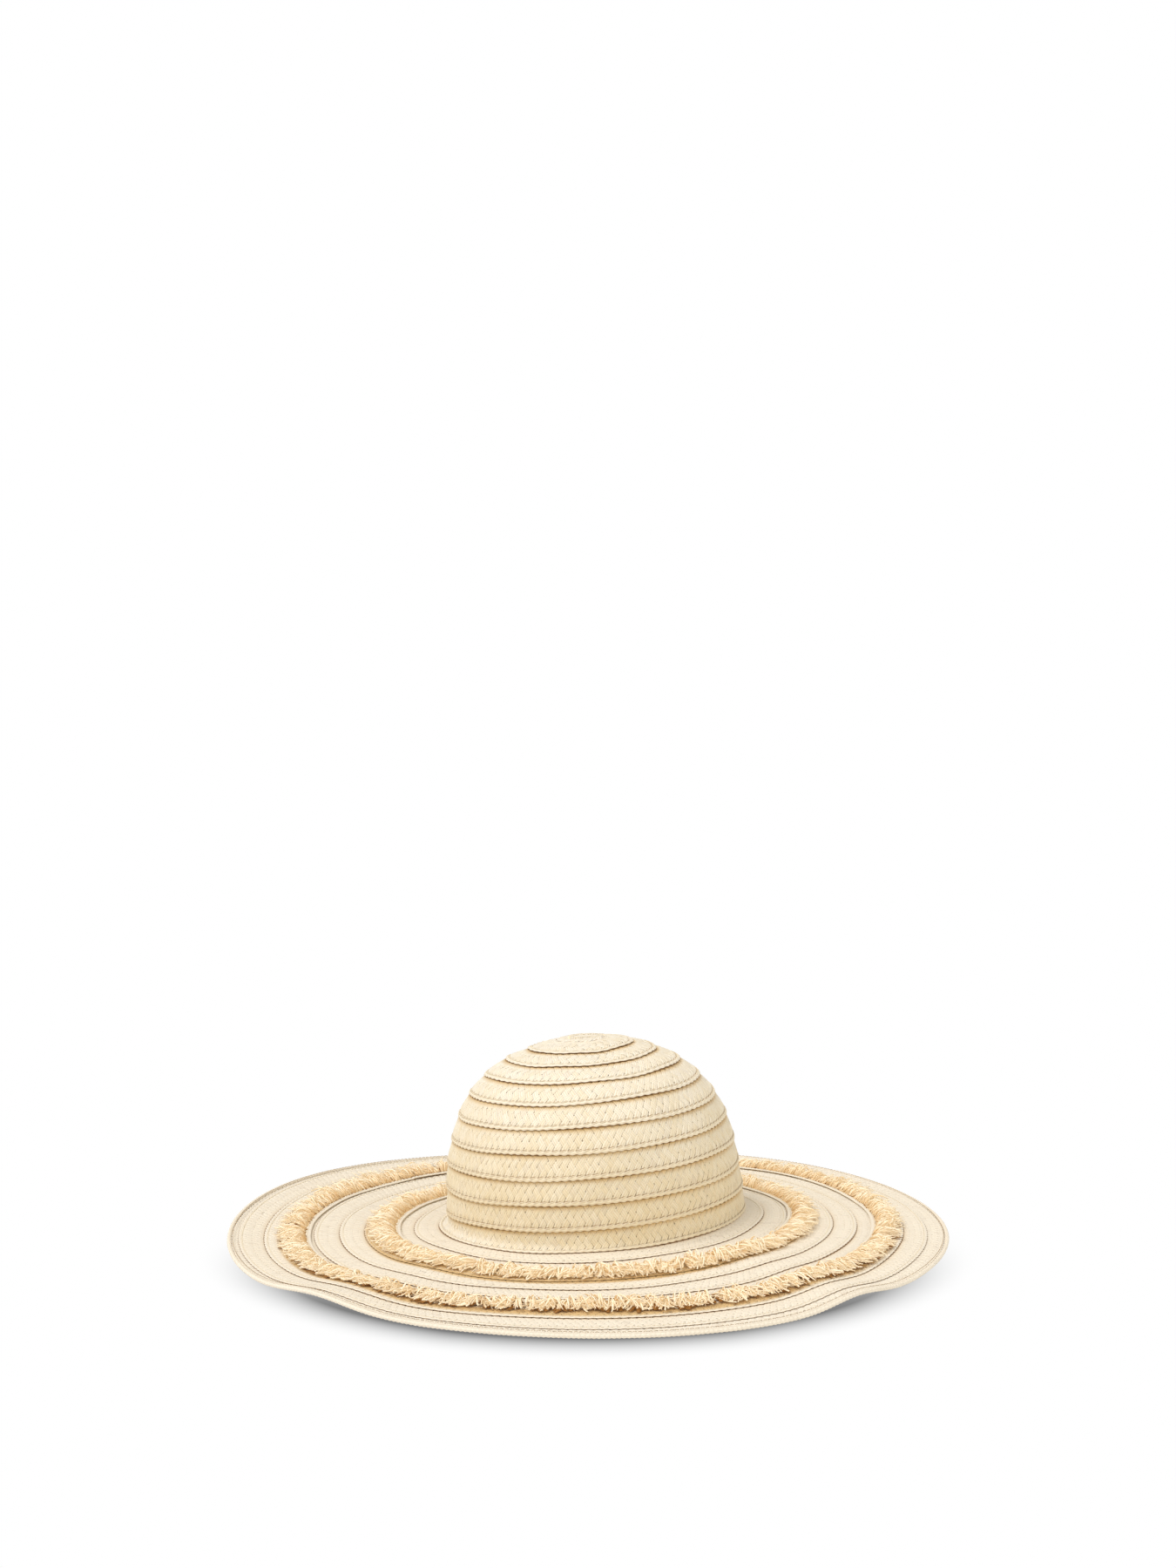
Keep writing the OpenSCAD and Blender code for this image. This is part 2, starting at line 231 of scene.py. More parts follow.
def hat_section():
    """Cross-section of the hat from the centre of the tip to the edge: length, radius and height."""
    high = CROWN_TOP - DOME_BASE
    end = math.acos(((FOOT_HEIGHT - DOME_BASE) / high) ** (DOME_POWER / 2))
    u = np.linspace(0, 1, DOME_STEPS) ** 1.5 * end
    r = MEAN_HALF * np.sin(u) ** (2 / DOME_POWER)
    swell = TIP_RISE * (1 - np.minimum(1, (r / TIP_REACH) ** 2)) ** 2
    z = DOME_BASE + high * np.cos(u) ** (2 / DOME_POWER) + swell
    sweep = math.pi / 2 - math.atan(BRIM_EASE * BRIM_DROP / (EDGE_REACH - BEND_RADIUS))
    a = np.linspace(0, sweep, 40)[1:]
    bend_r = r[-1] + BEND_RADIUS * (1 - np.cos(a))
    bend_z = FOOT_HEIGHT - BEND_RADIUS * np.sin(a)
    v = np.linspace(0, 1, 160)[1:]
    brim_r = bend_r[-1] + v * (MEAN_HALF + EDGE_REACH - bend_r[-1])
    brim_z = bend_z[-1] - BRIM_DROP * (1 - (1 - v) ** BRIM_EASE)
    r, z = np.r_[r, bend_r, brim_r], np.r_[z, bend_z, brim_z]
    s = np.r_[0, np.cumsum(np.hypot(np.diff(r), np.diff(z)))]
    return s, r, z, s[DOME_STEPS - 1], s[DOME_STEPS - 1 + len(a)], bend_r[-1]


S, R, Z, FOOT_S, BEND_S, BEND_R = hat_section()
EDGE_S = S[-1]
PITCH = (EDGE_S - FIRST_ROUND) / BRAID_TURNS
WIDTH = PITCH + OVERLAP
SLOPE = (BRAID_THICK + ROUND_GAP) / PITCH
BRAID_TOP = SLOPE * WIDTH + BRAID_THICK


def uneven(phi, s):
    """Small dents and swells of the hand-blocked hat, as a height, fading at the tip and the edge."""
    lean = 0.45 * MM * np.sin(3 * phi + 1.3 + 42 * s) + 0.35 * MM * np.sin(5 * phi - 61 * s + 0.7)
    fine = 0.2 * MM * np.sin(9 * phi + 130 * s)
    return (lean + fine) * np.clip((EDGE_S - s) / (30 * MM), 0, 1) * np.clip(s / (45 * MM), 0, 1) ** 1.5


def edge_wave(phi):
    total = sum(h * np.cos(n * phi - math.radians(a)) for n, h, a in EDGE_WAVES)
    for centre, spread, lift in EDGE_LIFTS:
        apart = np.angle(np.exp(1j * (phi - math.radians(centre))))
        total = total + lift * np.exp(-((apart / math.radians(spread)) ** 2))
    return total


def spot(phi, s, high):
    """Points on the hat, from angle, length along the cross-section and height above it."""
    phi, s, high = np.broadcast_arrays(phi, s, high)
    d = 0.5 * MM
    a, b = np.clip(s - d, 0, EDGE_S - 2 * d), np.clip(s + d, 2 * d, EDGE_S)
    dr = np.interp(b, S, R) - np.interp(a, S, R)
    dz = np.interp(b, S, Z) - np.interp(a, S, Z)
    n = np.hypot(dr, dz)
    high = high + uneven(phi, s)
    r = np.interp(s, S, R) - high * dz / n + np.clip(s - EDGE_S, 0, None)
    z = np.interp(s, S, Z) + high * dr / n
    inside = r <= MEAN_HALF
    kx = np.where(inside, CROWN_HALF_X * r / MEAN_HALF, CROWN_HALF_X + r - MEAN_HALF)
    ky = np.where(inside, CROWN_HALF_Y * r / MEAN_HALF, CROWN_HALF_Y + r - MEAN_HALF)
    x, y = kx * np.cos(phi), ky * np.sin(phi)
    share = np.clip((r - MEAN_HALF) / EDGE_REACH, 0, 1)
    lean = CROWN_LEAN * (1 - share)
    return np.stack([
        x + CROWN_ASIDE * (1 - share) - lean * (z - FOOT_HEIGHT), y,
        z + lean * x + edge_wave(phi) * share ** 2], axis=-1)


def low_edge(t):
    return np.minimum(FIRST_ROUND + PITCH * t, EDGE_S)


def braid_base(t, s):
    """Height of a round's underside: each round rises over the one outside it, like a shingle."""
    tuck = (BRAID_THICK + ROUND_GAP) * np.clip(t - BRAID_TURNS, 0, None)
    return SLOPE * (s - (low_edge(t) - WIDTH)) - tuck


# How far along the braid each turn is, measured down its middle
TURN = np.linspace(-1, BRAID_TURNS + 1, 4000)
TURN_PHI = -2 * math.pi * TURN
MIDDLE = spot(TURN_PHI, np.maximum(low_edge(TURN) - WIDTH / 2, 3 * MM), 0 * TURN)
ALONG = np.r_[0, np.cumsum(np.linalg.norm(np.diff(MIDDLE, axis=0), axis=1))]


def brim_s(reach):
    return BEND_S + reach + MEAN_HALF - BEND_R


def top_high(phi, s):
    """Height of the braid's upper face at a place, whichever round lies uppermost there."""
    part = (-phi / (2 * math.pi)) % 1.0
    t = part + np.ceil((s - FIRST_ROUND) / PITCH - part)
    return SLOPE * (s - (FIRST_ROUND + PITCH * t - WIDTH)) + BRAID_THICK


# ---------------------------------------------------------------- meshes from arrays
def new_piece(name, points, faces, material, smooth=True, extra=None):
    """A mesh object from an array of points, in any grid, and a list of equal-sided face arrays."""
    points = np.reshape(points, (-1, 3))
    mesh = bpy.data.meshes.new(name)
    mesh.vertices.add(len(points))
    mesh.vertices.foreach_set("co", np.ascontiguousarray(points, np.float32).ravel())
    loops = np.concatenate([f.ravel() for f in faces]).astype(np.int32)
    sizes = np.concatenate([np.full(len(f), f.shape[1]) for f in faces]).astype(np.int32)
    starts = np.r_[0, np.cumsum(sizes)[:-1]].astype(np.int32)
    mesh.loops.add(len(loops))
    mesh.loops.foreach_set("vertex_index", loops)
    mesh.polygons.add(len(sizes))
    mesh.polygons.foreach_set("loop_start", starts)
    mesh.polygons.foreach_set("loop_total", sizes)
    mesh.polygons.foreach_set("use_smooth", np.full(len(sizes), smooth))
    for key, values in (extra or {}).items():
        layer = mesh.attributes.new(key, "FLOAT_VECTOR", "POINT")
        layer.data.foreach_set("vector", np.ascontiguousarray(values, np.float32).ravel())
    mesh.update(calc_edges=True)
    mesh.validate()
    piece = bpy.data.objects.new(name, mesh)
    bpy.context.scene.collection.objects.link(piece)
    mesh.materials.append(material)
    return piece


def tube_faces(count, rings, ring, closed=False):
    """Faces of many equal tubes, each of so many rings of so many points, with flat ends."""
    base = (np.arange(count) * rings * ring)[:, None, None]
    steps = rings if closed else rings - 1
    i = np.arange(steps)[None, :, None]
    j = np.arange(ring)[None, None, :]
    i2, j2 = (i + 1) % rings, (j + 1) % ring
    quads = np.stack(np.broadcast_arrays(
        base + i * ring + j, base + i2 * ring + j, base + i2 * ring + j2, base + i * ring + j2), -1)
    faces = [quads.reshape(-1, 4)]
    if not closed:
        first = base[:, 0] + np.arange(ring)[None, :]
        faces += [first, (first + (rings - 1) * ring)[:, ::-1]]
    return faces


def tubes(paths, radius, sides):
    """Round tubes along many paths, an array of [path, point, xyz]."""
    along = np.gradient(paths, axis=1)
    along /= np.linalg.norm(along, axis=2, keepdims=True) + 1e-12
    side = np.cross(along, np.array([0.031, 0.017, 1.0]))
    side /= np.linalg.norm(side, axis=2, keepdims=True) + 1e-12
    up = np.cross(side, along)
    a = np.arange(sides) * 2 * math.pi / sides
    ring = (side[:, :, None] * np.cos(a)[None, None, :, None]
            + up[:, :, None] * np.sin(a)[None, None, :, None])
    points = paths[:, :, None] + ring * radius
    count, rings = paths.shape[:2]
    return points, tube_faces(count, rings, sides)


def stands_for(piece, body, slot, *nodes):
    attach(piece, body)
    if nodes:
        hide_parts(*nodes)


def round_stitches(count, gap):
    """Angles along so many stitches round the hat, with a gap at each end, and how far each arches up."""
    u = np.linspace(0, 1, 5)[None, :]
    phi = (np.arange(count)[:, None] + gap + (1 - 2 * gap) * u) / count * 2 * math.pi
    return phi, np.sin(math.pi * u) ** 0.5


# ---------------------------------------------------------------- materials
def start_material(name):
    material = bpy.data.materials.new(name)
    material.use_nodes = True
    return material, material.node_tree, material.node_tree.nodes["Principled BSDF"]


def mix_colour(tree, factor, a, b, kind="MIX"):
    made = node(tree, "ShaderNodeMix", {0: factor, 6: a, 7: b}, data_type="RGBA", blend_type=kind)
    return made.outputs[2]


def attribute(tree, name):
    vector = node(tree, "ShaderNodeAttribute", attribute_name=name).outputs["Vector"]
    return node(tree, "ShaderNodeSeparateXYZ", {0: vector}).outputs


def noise(tree, vector, scale, detail=2.0, rough=0.5):
    made = node(tree, "ShaderNodeTexNoise", {
        "Vector": vector, "Scale": scale, "Detail": detail, "Roughness": rough})
    return made.outputs["Fac"]


CROWN_PALE = (0.875, 0.825, 0.72, 1)
CROWN_DEEP = (0.79, 0.685, 0.49, 1)
CROWN_WARMTH = (0.97, 0.93, 0.82, 1)
BRIM_PALE = (0.83, 0.76, 0.635, 1)
BRIM_DEEP = (0.79, 0.70, 0.56, 1)
BRIM_WARMTH = (1.0, 1.0, 1.0, 1)
STRAW_GOLD = (0.60, 0.39, 0.14, 1)
# Colour of the painted shade in creases and under edges
CREASE_SHADE_COLOUR = (0.31, 0.16, 0.05, 1)


def straw_material(name, pale, deep, warmth, splint_mm, line_share, shade_share, stitch_mm, crease_shade_share,
                   fringe_share):
    """Plaited straw. lay holds (along, across, tone) and fibre (across strand, along it, its seed).

    A share is how far the lines between splints, the painted shade, the painted crease shade or the fringes'
    gold light and shade go.
    """
    material, tree, surface = start_material(name)
    lay = attribute(tree, "lay")
    fibre = attribute(tree, "fibre")
    across = maths(tree, "MULTIPLY", fibre[0], 1.6)
    along = maths(tree, "MULTIPLY", fibre[1], 0.07)
    lines = node(tree, "ShaderNodeCombineXYZ", {0: across, 1: along, 2: fibre[2]}).outputs[0]
    grain = noise(tree, lines, 1.0, 3.0, 0.6)
    place = node(tree, "ShaderNodeNewGeometry").outputs["Position"]
    patch = noise(tree, place, 22.0, 2.0)
    tone = maths(tree, "ADD", maths(tree, "MULTIPLY", lay[2], 0.35), maths(tree, "MULTIPLY", grain, 0.75))
    tone = maths(tree, "ADD", tone, maths(tree, "MULTIPLY", patch, 0.45))
    colour = mix_colour(tree, ramp(tree, tone, 0.45, 1.25), pale, deep)
    # Light from the golden fringes warms the foot of the crown
    height = node(tree, "ShaderNodeSeparateXYZ", {0: place}).outputs[2]
    warm = maths(tree, "MULTIPLY", ramp(tree, height, 0.115, 0.045), ramp(tree, height, 0.012, 0.019))
    colour = mix_colour(tree, warm, colour, warmth, "MULTIPLY")
    # Deeper lines between the splints of a strand
    splint = maths(tree, "DIVIDE", maths(tree, "ADD", fibre[0], CELL / MM / 2), splint_mm)
    part = maths(tree, "ABSOLUTE", maths(tree, "SUBTRACT", maths(
        tree, "FRACT", maths(tree, "ADD", splint, 0.5)), 0.5))
    line = maths(tree, "MULTIPLY", ramp(tree, part, 0.24, 0.03), line_share)
    colour = mix_colour(tree, line, colour, STRAW_GOLD)
    # Painted shade: under the round above, the straw is painted deeper
    shade = ramp(tree, lay[1], OVERLAP / MM + 4.0, OVERLAP / MM - 0.6, smooth=True)
    colour = mix_colour(tree, maths(tree, "MULTIPLY", shade, shade_share), colour, STRAW_GOLD)
    # A darker painted shadow line just under the edge of the round above
    painted_edge_shade = ramp(tree, lay[1], OVERLAP / MM + 0.75, OVERLAP / MM - 0.1, 0.0, 0.85)
    colour = mix_colour(tree, painted_edge_shade, colour, CREASE_SHADE_COLOUR)
    # Gold light and shade on the upper face, under the tips of the two fringes
    x, y, _ = node(tree, "ShaderNodeSeparateXYZ", {0: place}).outputs
    out = distance(tree, x, y)
    facing = node(tree, "ShaderNodeNewGeometry").outputs["Normal"]
    facing_up = node(tree, "ShaderNodeSeparateXYZ", {0: facing}).outputs[2]
    upper = ramp(tree, facing_up, 0.0, 0.4, 0.0, fringe_share)
    for at in (INNER_FRINGE_AT, OUTER_FRINGE_AT):
        middle = float(np.interp(brim_s(at), S, R)) + TAPE_WIDTH + TIPS_AT
        off = maths(tree, "ABSOLUTE", maths(tree, "SUBTRACT", out, middle))
        gold = maths(tree, "MULTIPLY", ramp(tree, off, 7 * MM, 3 * MM, smooth=True), upper)
        colour = mix_colour(tree, gold, colour, STRAW_GOLD)
    # Painted shade on the underside of an edge, where it bears on the round below
    colour = mix_colour(tree, ramp(tree, lay[2], 0.1, -0.6), colour, CREASE_SHADE_COLOUR)
    # Painted shade in slanting creases along the seam, one to a stitch
    turn = maths(tree, "SUBTRACT", maths(tree, "FRACT", maths(tree, "DIVIDE", lay[0], stitch_mm)), 0.5)
    dx = maths(tree, "MULTIPLY", turn, stitch_mm)
    dy = maths(tree, "SUBTRACT", lay[1], (WIDTH - STITCH_IN) / MM - 0.1)
    dy = maths(tree, "ABSOLUTE", maths(tree, "SUBTRACT", dy, maths(tree, "MULTIPLY", dx, 0.24)))
    crease_shade = maths(tree, "MULTIPLY", ramp(tree, dy, 0.36, 0.10),
                   ramp(tree, maths(tree, "ABSOLUTE", turn), 0.46, 0.32))
    colour = mix_colour(tree, maths(tree, "MULTIPLY", crease_shade, crease_shade_share), colour, CREASE_SHADE_COLOUR)
    tree.links.new(colour, surface.inputs["Base Color"])
    tree.links.new(ramp(tree, grain, 0.0, 1.0, 0.48, 0.75), surface.inputs["Roughness"])
    surface.inputs["Sheen Weight"].default_value = 0.12
    surface.inputs["Specular IOR Level"].default_value = 0.3
    bump = node(tree, "ShaderNodeBump", {"Height": grain, "Distance": 0.22 * MM, "Strength": 0.7})
    tree.links.new(bump.outputs[0], surface.inputs["Normal"])
    return material


def raffia_material(name):
    """Loose fibres. fibre holds (how far along, seed, tone)."""
    material, tree, surface = start_material(name)
    fibre = attribute(tree, "fibre")
    base = mix_colour(tree, fibre[2], (0.93, 0.86, 0.72, 1), (0.89, 0.77, 0.57, 1))
    # Painted shade deepens the fibres near their roots, and painted light makes them paler at their tips
    tip = mix_colour(tree, ramp(tree, fibre[0], 0.0, 0.35), (0.80, 0.61, 0.36, 1), base)
    bright = mix_colour(tree, ramp(tree, fibre[0], 0.8, 1.0), tip, (0.92, 0.82, 0.64, 1))
    lines = node(tree, "ShaderNodeCombineXYZ", {
        0: maths(tree, "MULTIPLY", fibre[0], 3.0), 1: fibre[1], 2: fibre[2]}).outputs[0]
    streak = noise(tree, lines, 3.0, 2.0)
    colour = mix_colour(tree, maths(tree, "MULTIPLY", streak, 0.22), bright, (0.72, 0.46, 0.18, 1))
    # The lowest flat fibres are painted brown, as shade under the fringe
    colour = mix_colour(tree, ramp(tree, fibre[2], 1.2, 1.9), colour, (0.27, 0.12, 0.025, 1))
    tree.links.new(colour, surface.inputs["Base Color"])
    surface.inputs["Roughness"].default_value = 0.6
    surface.inputs["Specular IOR Level"].default_value = 0.3
    # A painted glow, standing in for light let through the fibres, keeps the shade between them golden
    glow = mix_colour(tree, 1.0, colour, (1.0, 0.85, 0.62, 1), "MULTIPLY")
    tree.links.new(glow, surface.inputs["Emission Color"])
    surface.inputs["Emission Strength"].default_value = 0.21
    return material


def thread_material(name, colour):
    material, tree, surface = start_material(name)
    place = node(tree, "ShaderNodeNewGeometry").outputs["Position"]
    twist = noise(tree, place, 900.0, 2.0)
    deep = tuple(c * 0.72 for c in colour[:3]) + (1,)
    tree.links.new(mix_colour(tree, twist, colour, deep), surface.inputs["Base Color"])
    surface.inputs["Roughness"].default_value = 0.7
    bump = node(tree, "ShaderNodeBump", {"Height": twist, "Distance": 0.1 * MM, "Strength": 0.6})
    tree.links.new(bump.outputs[0], surface.inputs["Normal"])
    return material


def cloth_material(name, colour, rib_scale):
    """Ribbed ribbon or plain label cloth, ribbed up and down."""
    material, tree, surface = start_material(name)
    place = node(tree, "ShaderNodeNewGeometry").outputs["Position"]
    stretched = node(tree, "ShaderNodeVectorMath", {0: place, 1: (1.0, 1.0, 0.08)}, operation="MULTIPLY")
    rib = noise(tree, stretched.outputs[0], rib_scale, 1.0)
    fine = noise(tree, place, 2600.0, 2.0)
    deep = tuple(c * 0.86 for c in colour[:3]) + (1,)
    weave = maths(tree, "ADD", maths(tree, "MULTIPLY", rib, 0.6), maths(tree, "MULTIPLY", fine, 0.4))
    tree.links.new(mix_colour(tree, weave, colour, deep), surface.inputs["Base Color"])
    surface.inputs["Roughness"].default_value = 0.85
    surface.inputs["Sheen Weight"].default_value = 0.2
    bump = node(tree, "ShaderNodeBump", {"Height": weave, "Distance": 0.2 * MM, "Strength": 0.5})
    tree.links.new(bump.outputs[0], surface.inputs["Normal"])
    return material


def metal_material(name, colour, rough):
    material, tree, surface = start_material(name)
    place = node(tree, "ShaderNodeNewGeometry").outputs["Position"]
    marks = noise(tree, place, 400.0, 3.0)
    deep = tuple(c * 0.8 for c in colour[:3]) + (1,)
    tree.links.new(mix_colour(tree, marks, colour, deep), surface.inputs["Base Color"])
    tree.links.new(ramp(tree, marks, 0.5 - rough, 1.2), surface.inputs["Roughness"])
    surface.inputs["Metallic"].default_value = 1.0
    return material


# The plait, which the straw's materials follow too
STRANDS = 5                   # an odd number, so that the strands alternate at both edges
CELL = 4.7 * MM               # distance along the braid between neighbouring strands
STRAND_THICK = 0.34 * MM
TURN_IN = 0.6 * MM            # distance of the strands' turns from the lower edge
PLAIN_MM = 8.6                # distance across the braid that has no painted shade, painted edge shade or painted crease shade
BRIM_STITCH_MM = 2.8


class Weave(NamedTuple):
    """How a stretch of braid is plaited."""
    material: bpy.types.Material
    rise: float               # height of a strand's over and under
    splints: int              # straws side by side in a strand
    steps: int                # points along a strand between two crossings
    strand: float             # width of a strand, as a share of the cell
    cord: float               # thickness of the lower edge


crown_straw = straw_material(
    "crown_straw", CROWN_PALE, CROWN_DEEP, CROWN_WARMTH, splint_mm=CELL / MM / 3, line_share=0.45,
    shade_share=0.92, stitch_mm=CELL / MM, crease_shade_share=0.8, fringe_share=0.0)
brim_straw = straw_material(
    "brim_straw", BRIM_PALE, BRIM_DEEP, BRIM_WARMTH, splint_mm=CELL / MM / 2, line_share=0.12,
    shade_share=0.24, stitch_mm=BRIM_STITCH_MM, crease_shade_share=0.0, fringe_share=0.85)
CROWN = Weave(crown_straw, rise=0.24 * MM, splints=3, steps=3, strand=1.0, cord=0.72 * MM)
BRIM = Weave(brim_straw, rise=0.10 * MM, splints=2, steps=2, strand=1.08, cord=0.45 * MM)
raffia = raffia_material("raffia")
thread = thread_material("straw_thread", (0.88, 0.77, 0.57, 1))
edge_twine = thread_material("edge_twine", (0.50, 0.36, 0.21, 1))
band_thread = thread_material("band_thread", (0.84, 0.78, 0.64, 1))
ribbon = cloth_material("ribbon", (0.88, 0.83, 0.72, 1), 900.0)
label_cloth = cloth_material("label_cloth", (0.94, 0.93, 0.90, 1), 500.0)
steel = metal_material("spring_steel", (0.62, 0.62, 0.63, 1), 0.3)
soft_metal = metal_material("sleeve_metal", (0.72, 0.72, 0.73, 1), 0.2)


# ---------------------------------------------------------------- the plait
def over_under(c):
    """Height of a strand, -1 to 1, after so many crossings of its leg from edge to edge."""
    c = np.clip(c, 0, STRANDS)
    h = np.cos(math.pi * c)
    h = np.where(c < 1, -np.sin(math.pi * c / 2), h)
    h = np.where(c > STRANDS - 1, np.cos(math.pi * (c - STRANDS + 1) / 2), h)
    return np.sign(h) * np.abs(h) ** 0.8


def turn_at_edges(share):
    """A strand flattens where it turns at an edge, so that the two edges look like cord."""
    d = 1.0 / STRANDS
    near = np.minimum(share, 1 - share)
    bent = np.where(near < d, d * (near / d) ** 1.4, near)
    return np.where(share < 0.5, bent, 1 - bent)


def plait(first, last, weave, seed):
    """The strands of a length of braid, in flat coordinates.

    Returns arrays of [strand, step, point] for how far along, how far across as a share of the
    width, and height, with the tone of each strand and the place across the strand.
    """
    half, rise = CELL / 2, weave.rise
    i = np.arange(round(first / half) * weave.steps, round(last / half) * weave.steps + 1)
    c_all = i / weave.steps
    k = np.arange(STRANDS)[:, None]
    x = c_all[None, :] + 2 * k
    leg = np.floor(x / STRANDS + 1e-9)
    c = x - leg * STRANDS
    share = np.where(leg % 2 < 0.5, c / STRANDS, 1 - c / STRANDS)
    points = 2 * weave.splints + 1
    offset = np.r_[np.linspace(-0.5, 0.5, points), 0.25, -0.25] * weave.strand
    relief = 0.42 * rise / MM
    ridge = np.r_[np.where(np.arange(points) % 2, relief, -relief), 0, 0] * MM
    lift = np.r_[np.full(points, 0.5), -0.5, -0.5] * STRAND_THICK
    lift[[0, points - 1]] = -0.1 * STRAND_THICK
    loose = 1.4 * rise * np.sin(0.9 * c_all + 2.4 * k + 1.7 * np.sin(0.19 * c_all + k))
    along = c_all[None, :, None] * half + loose[:, :, None] + offset * CELL
    flat = 1 - 0.7 * np.clip((share - 0.82) / 0.1, 0, 1)
    high = (over_under(c[:, :, None] + offset) * rise + ridge) * flat[:, :, None] + lift
    # The turns at the lower edge stay inside its cord
    across = np.broadcast_to((turn_at_edges(share) * (1 - TURN_IN / WIDTH))[:, :, None], along.shape)
    tones = np.random.default_rng(seed).random((STRANDS, 4096))
    tone = tones[k, leg.astype(int) % 4096]
    return along, across, high, tone, offset * CELL


def plait_piece(name, first, last, place, weave, seed, corded):
    """A length of braid as a mesh. place turns along, across and height into points.

    corded adds the cord of the lower edge.
    """
    along, across, high, tone, offset = plait(first, last, weave, seed)
    strands, count, ring = along.shape
    points = place(along, across, high).reshape(-1, 3)
    faces = tube_faces(strands, count, ring)
    # No other round lies over the first one, so it gets no painted shade
    open_to = PLAIN_MM * np.clip((along_of(1) - along) / (20 * MM), 0, 1)
    inward = np.maximum(across * WIDTH / MM, open_to)
    # Nor is a strand's underside given painted shade or painted crease shade
    inward[:, :, -2:] = PLAIN_MM
    lay = np.stack([along / MM, inward, np.broadcast_to(tone[:, :, None], along.shape)], -1)
    fibre = np.stack([
        np.broadcast_to(offset / MM, along.shape),
        along / MM * 2,
        np.broadcast_to(7.3 * np.arange(strands)[:, None, None] + 3 * tone[:, :, None], along.shape)], -1)
    lay, fibre = lay.reshape(-1, 3), fibre.reshape(-1, 3)
    if corded:
        along, across, high = edge_cord(first, last, weave.cord)
        faces += [f + len(points) for f in tube_faces(1, *along.shape)]
        points = np.concatenate([points, place(along, across, high).reshape(-1, 3)])
        tone = np.where(along < along_of(0), 0.4, CORD_TONES)
        cord_lay = np.stack([along / MM, across * WIDTH / MM, tone], -1)
        cord_fibre = np.stack([across * 30, along / MM * 2, 0 * along], -1)
        lay = np.concatenate([lay, cord_lay.reshape(-1, 3)])
        fibre = np.concatenate([fibre, cord_fibre.reshape(-1, 3)])
    return new_piece(name, points, faces, weave.material, extra={"lay": lay, "fibre": fibre})


# Cross-section of the lower edge's cord: millimetres out from the edge, height as a share of the cord's
# thickness, and tone, which is below 0 on the face that bears on the round below and gets painted shade
CORD_SECTION = np.array([
    (-2.6, 0.20, 0.4), (-2.1, 0.62, 0.4), (-1.4, 0.84, 0.4), (-0.7, 0.78, 0.4), (-0.15, 0.48, 0.25),
    (0.05, 0.0, -0.6), (-0.2, -0.42, -1.0), (-0.45, -0.46, 0.2), (-2.4, -0.4, 0.4)])
CORD_TONES = CORD_SECTION[:, 2]


def edge_cord(first, last, full):
    """The turns of the strands at the lower edge, tight together like a cord. full is its thickness."""
    step = CELL / 6
    along = np.linspace(first, last, int((last - first) / step) + 2)[:, None]
    w = CORD_SECTION[None, :, 0] * MM + 0 * along
    twist = 2 * math.pi * (along / CELL - w / (5.0 * MM))
    w = w + 0.27 * MM * np.sin(twist) * (w > -1.5 * MM)
    high = CORD_SECTION[None, :, 1] * full * (1 + 0.28 * np.sin(twist))
    return np.broadcast_arrays(along, 1 + w / WIDTH, high)


def lip(across, t):
    """The lower edge of a round presses down on the next, and the seam pulls in a groove above it."""
    w = across * WIDTH
    groove = -0.30 * MM * np.exp(-(((w - (WIDTH - STITCH_IN)) / (0.7 * MM)) ** 2))
    press = np.clip((w - (WIDTH - 5 * MM)) / (5 * MM), 0, 1) ** 1.5
    start = np.clip(-4 * t, 0, 1)
    gentle = np.clip(t - CROWN_TURN + 1, 0, 1)
    return groove - press * (0.22 * MM + 0.40 * MM * gentle + 0.9 * MM * start)


def wound(along, across, high):
    """Winds flat braid onto the hat."""
    t = np.interp(along, ALONG, TURN)
    wobble = 0.25 * MM * np.sin(23 * t + 1) + 0.2 * MM * np.sin(41 * t)
    b = low_edge(t)
    a = np.maximum(b - WIDTH, 1 * MM)
    s = a + across * (b - a) + wobble * across * np.clip((EDGE_S - b) / PITCH, 0, 1)
    high = high * (1 - 0.65 * np.clip(-4 * t, 0, 1))
    return spot(-2 * math.pi * t, s, braid_base(t, s) + BRAID_THICK / 2 + high + lip(across, t))


def along_of(turn):
    return float(np.interp(turn, TURN, ALONG))


def wound_rounds(name, node_name, first_turn, last_turn, weave, pieces):
    """Braid between two turns, in pieces of equal length that join end to end at a crossing."""
    ends = np.linspace(along_of(first_turn), along_of(last_turn), pieces + 1)
    ends = np.round(ends * 2 / CELL) * CELL / 2
    for i in range(pieces):
        piece = plait_piece(f"{name}_{i + 1}", ends[i], ends[i + 1], wound, weave, seed=11, corded=True)
        stands_for(piece, "hat", "straw_braid", node_name)


wound_rounds("crown_plait", "crown_braid", -1, CROWN_TURN, CROWN, pieces=4)
wound_rounds("inner_brim_plait", "brim_braid_inner", CROWN_TURN, INNER_TURN, BRIM, pieces=1)
wound_rounds("middle_brim_plait", "brim_braid_middle", INNER_TURN, MIDDLE_TURN, BRIM, pieces=2)
wound_rounds("outer_brim_plait", "brim_braid_outer", MIDDLE_TURN, BRAID_TURNS + 1, BRIM, pieces=3)


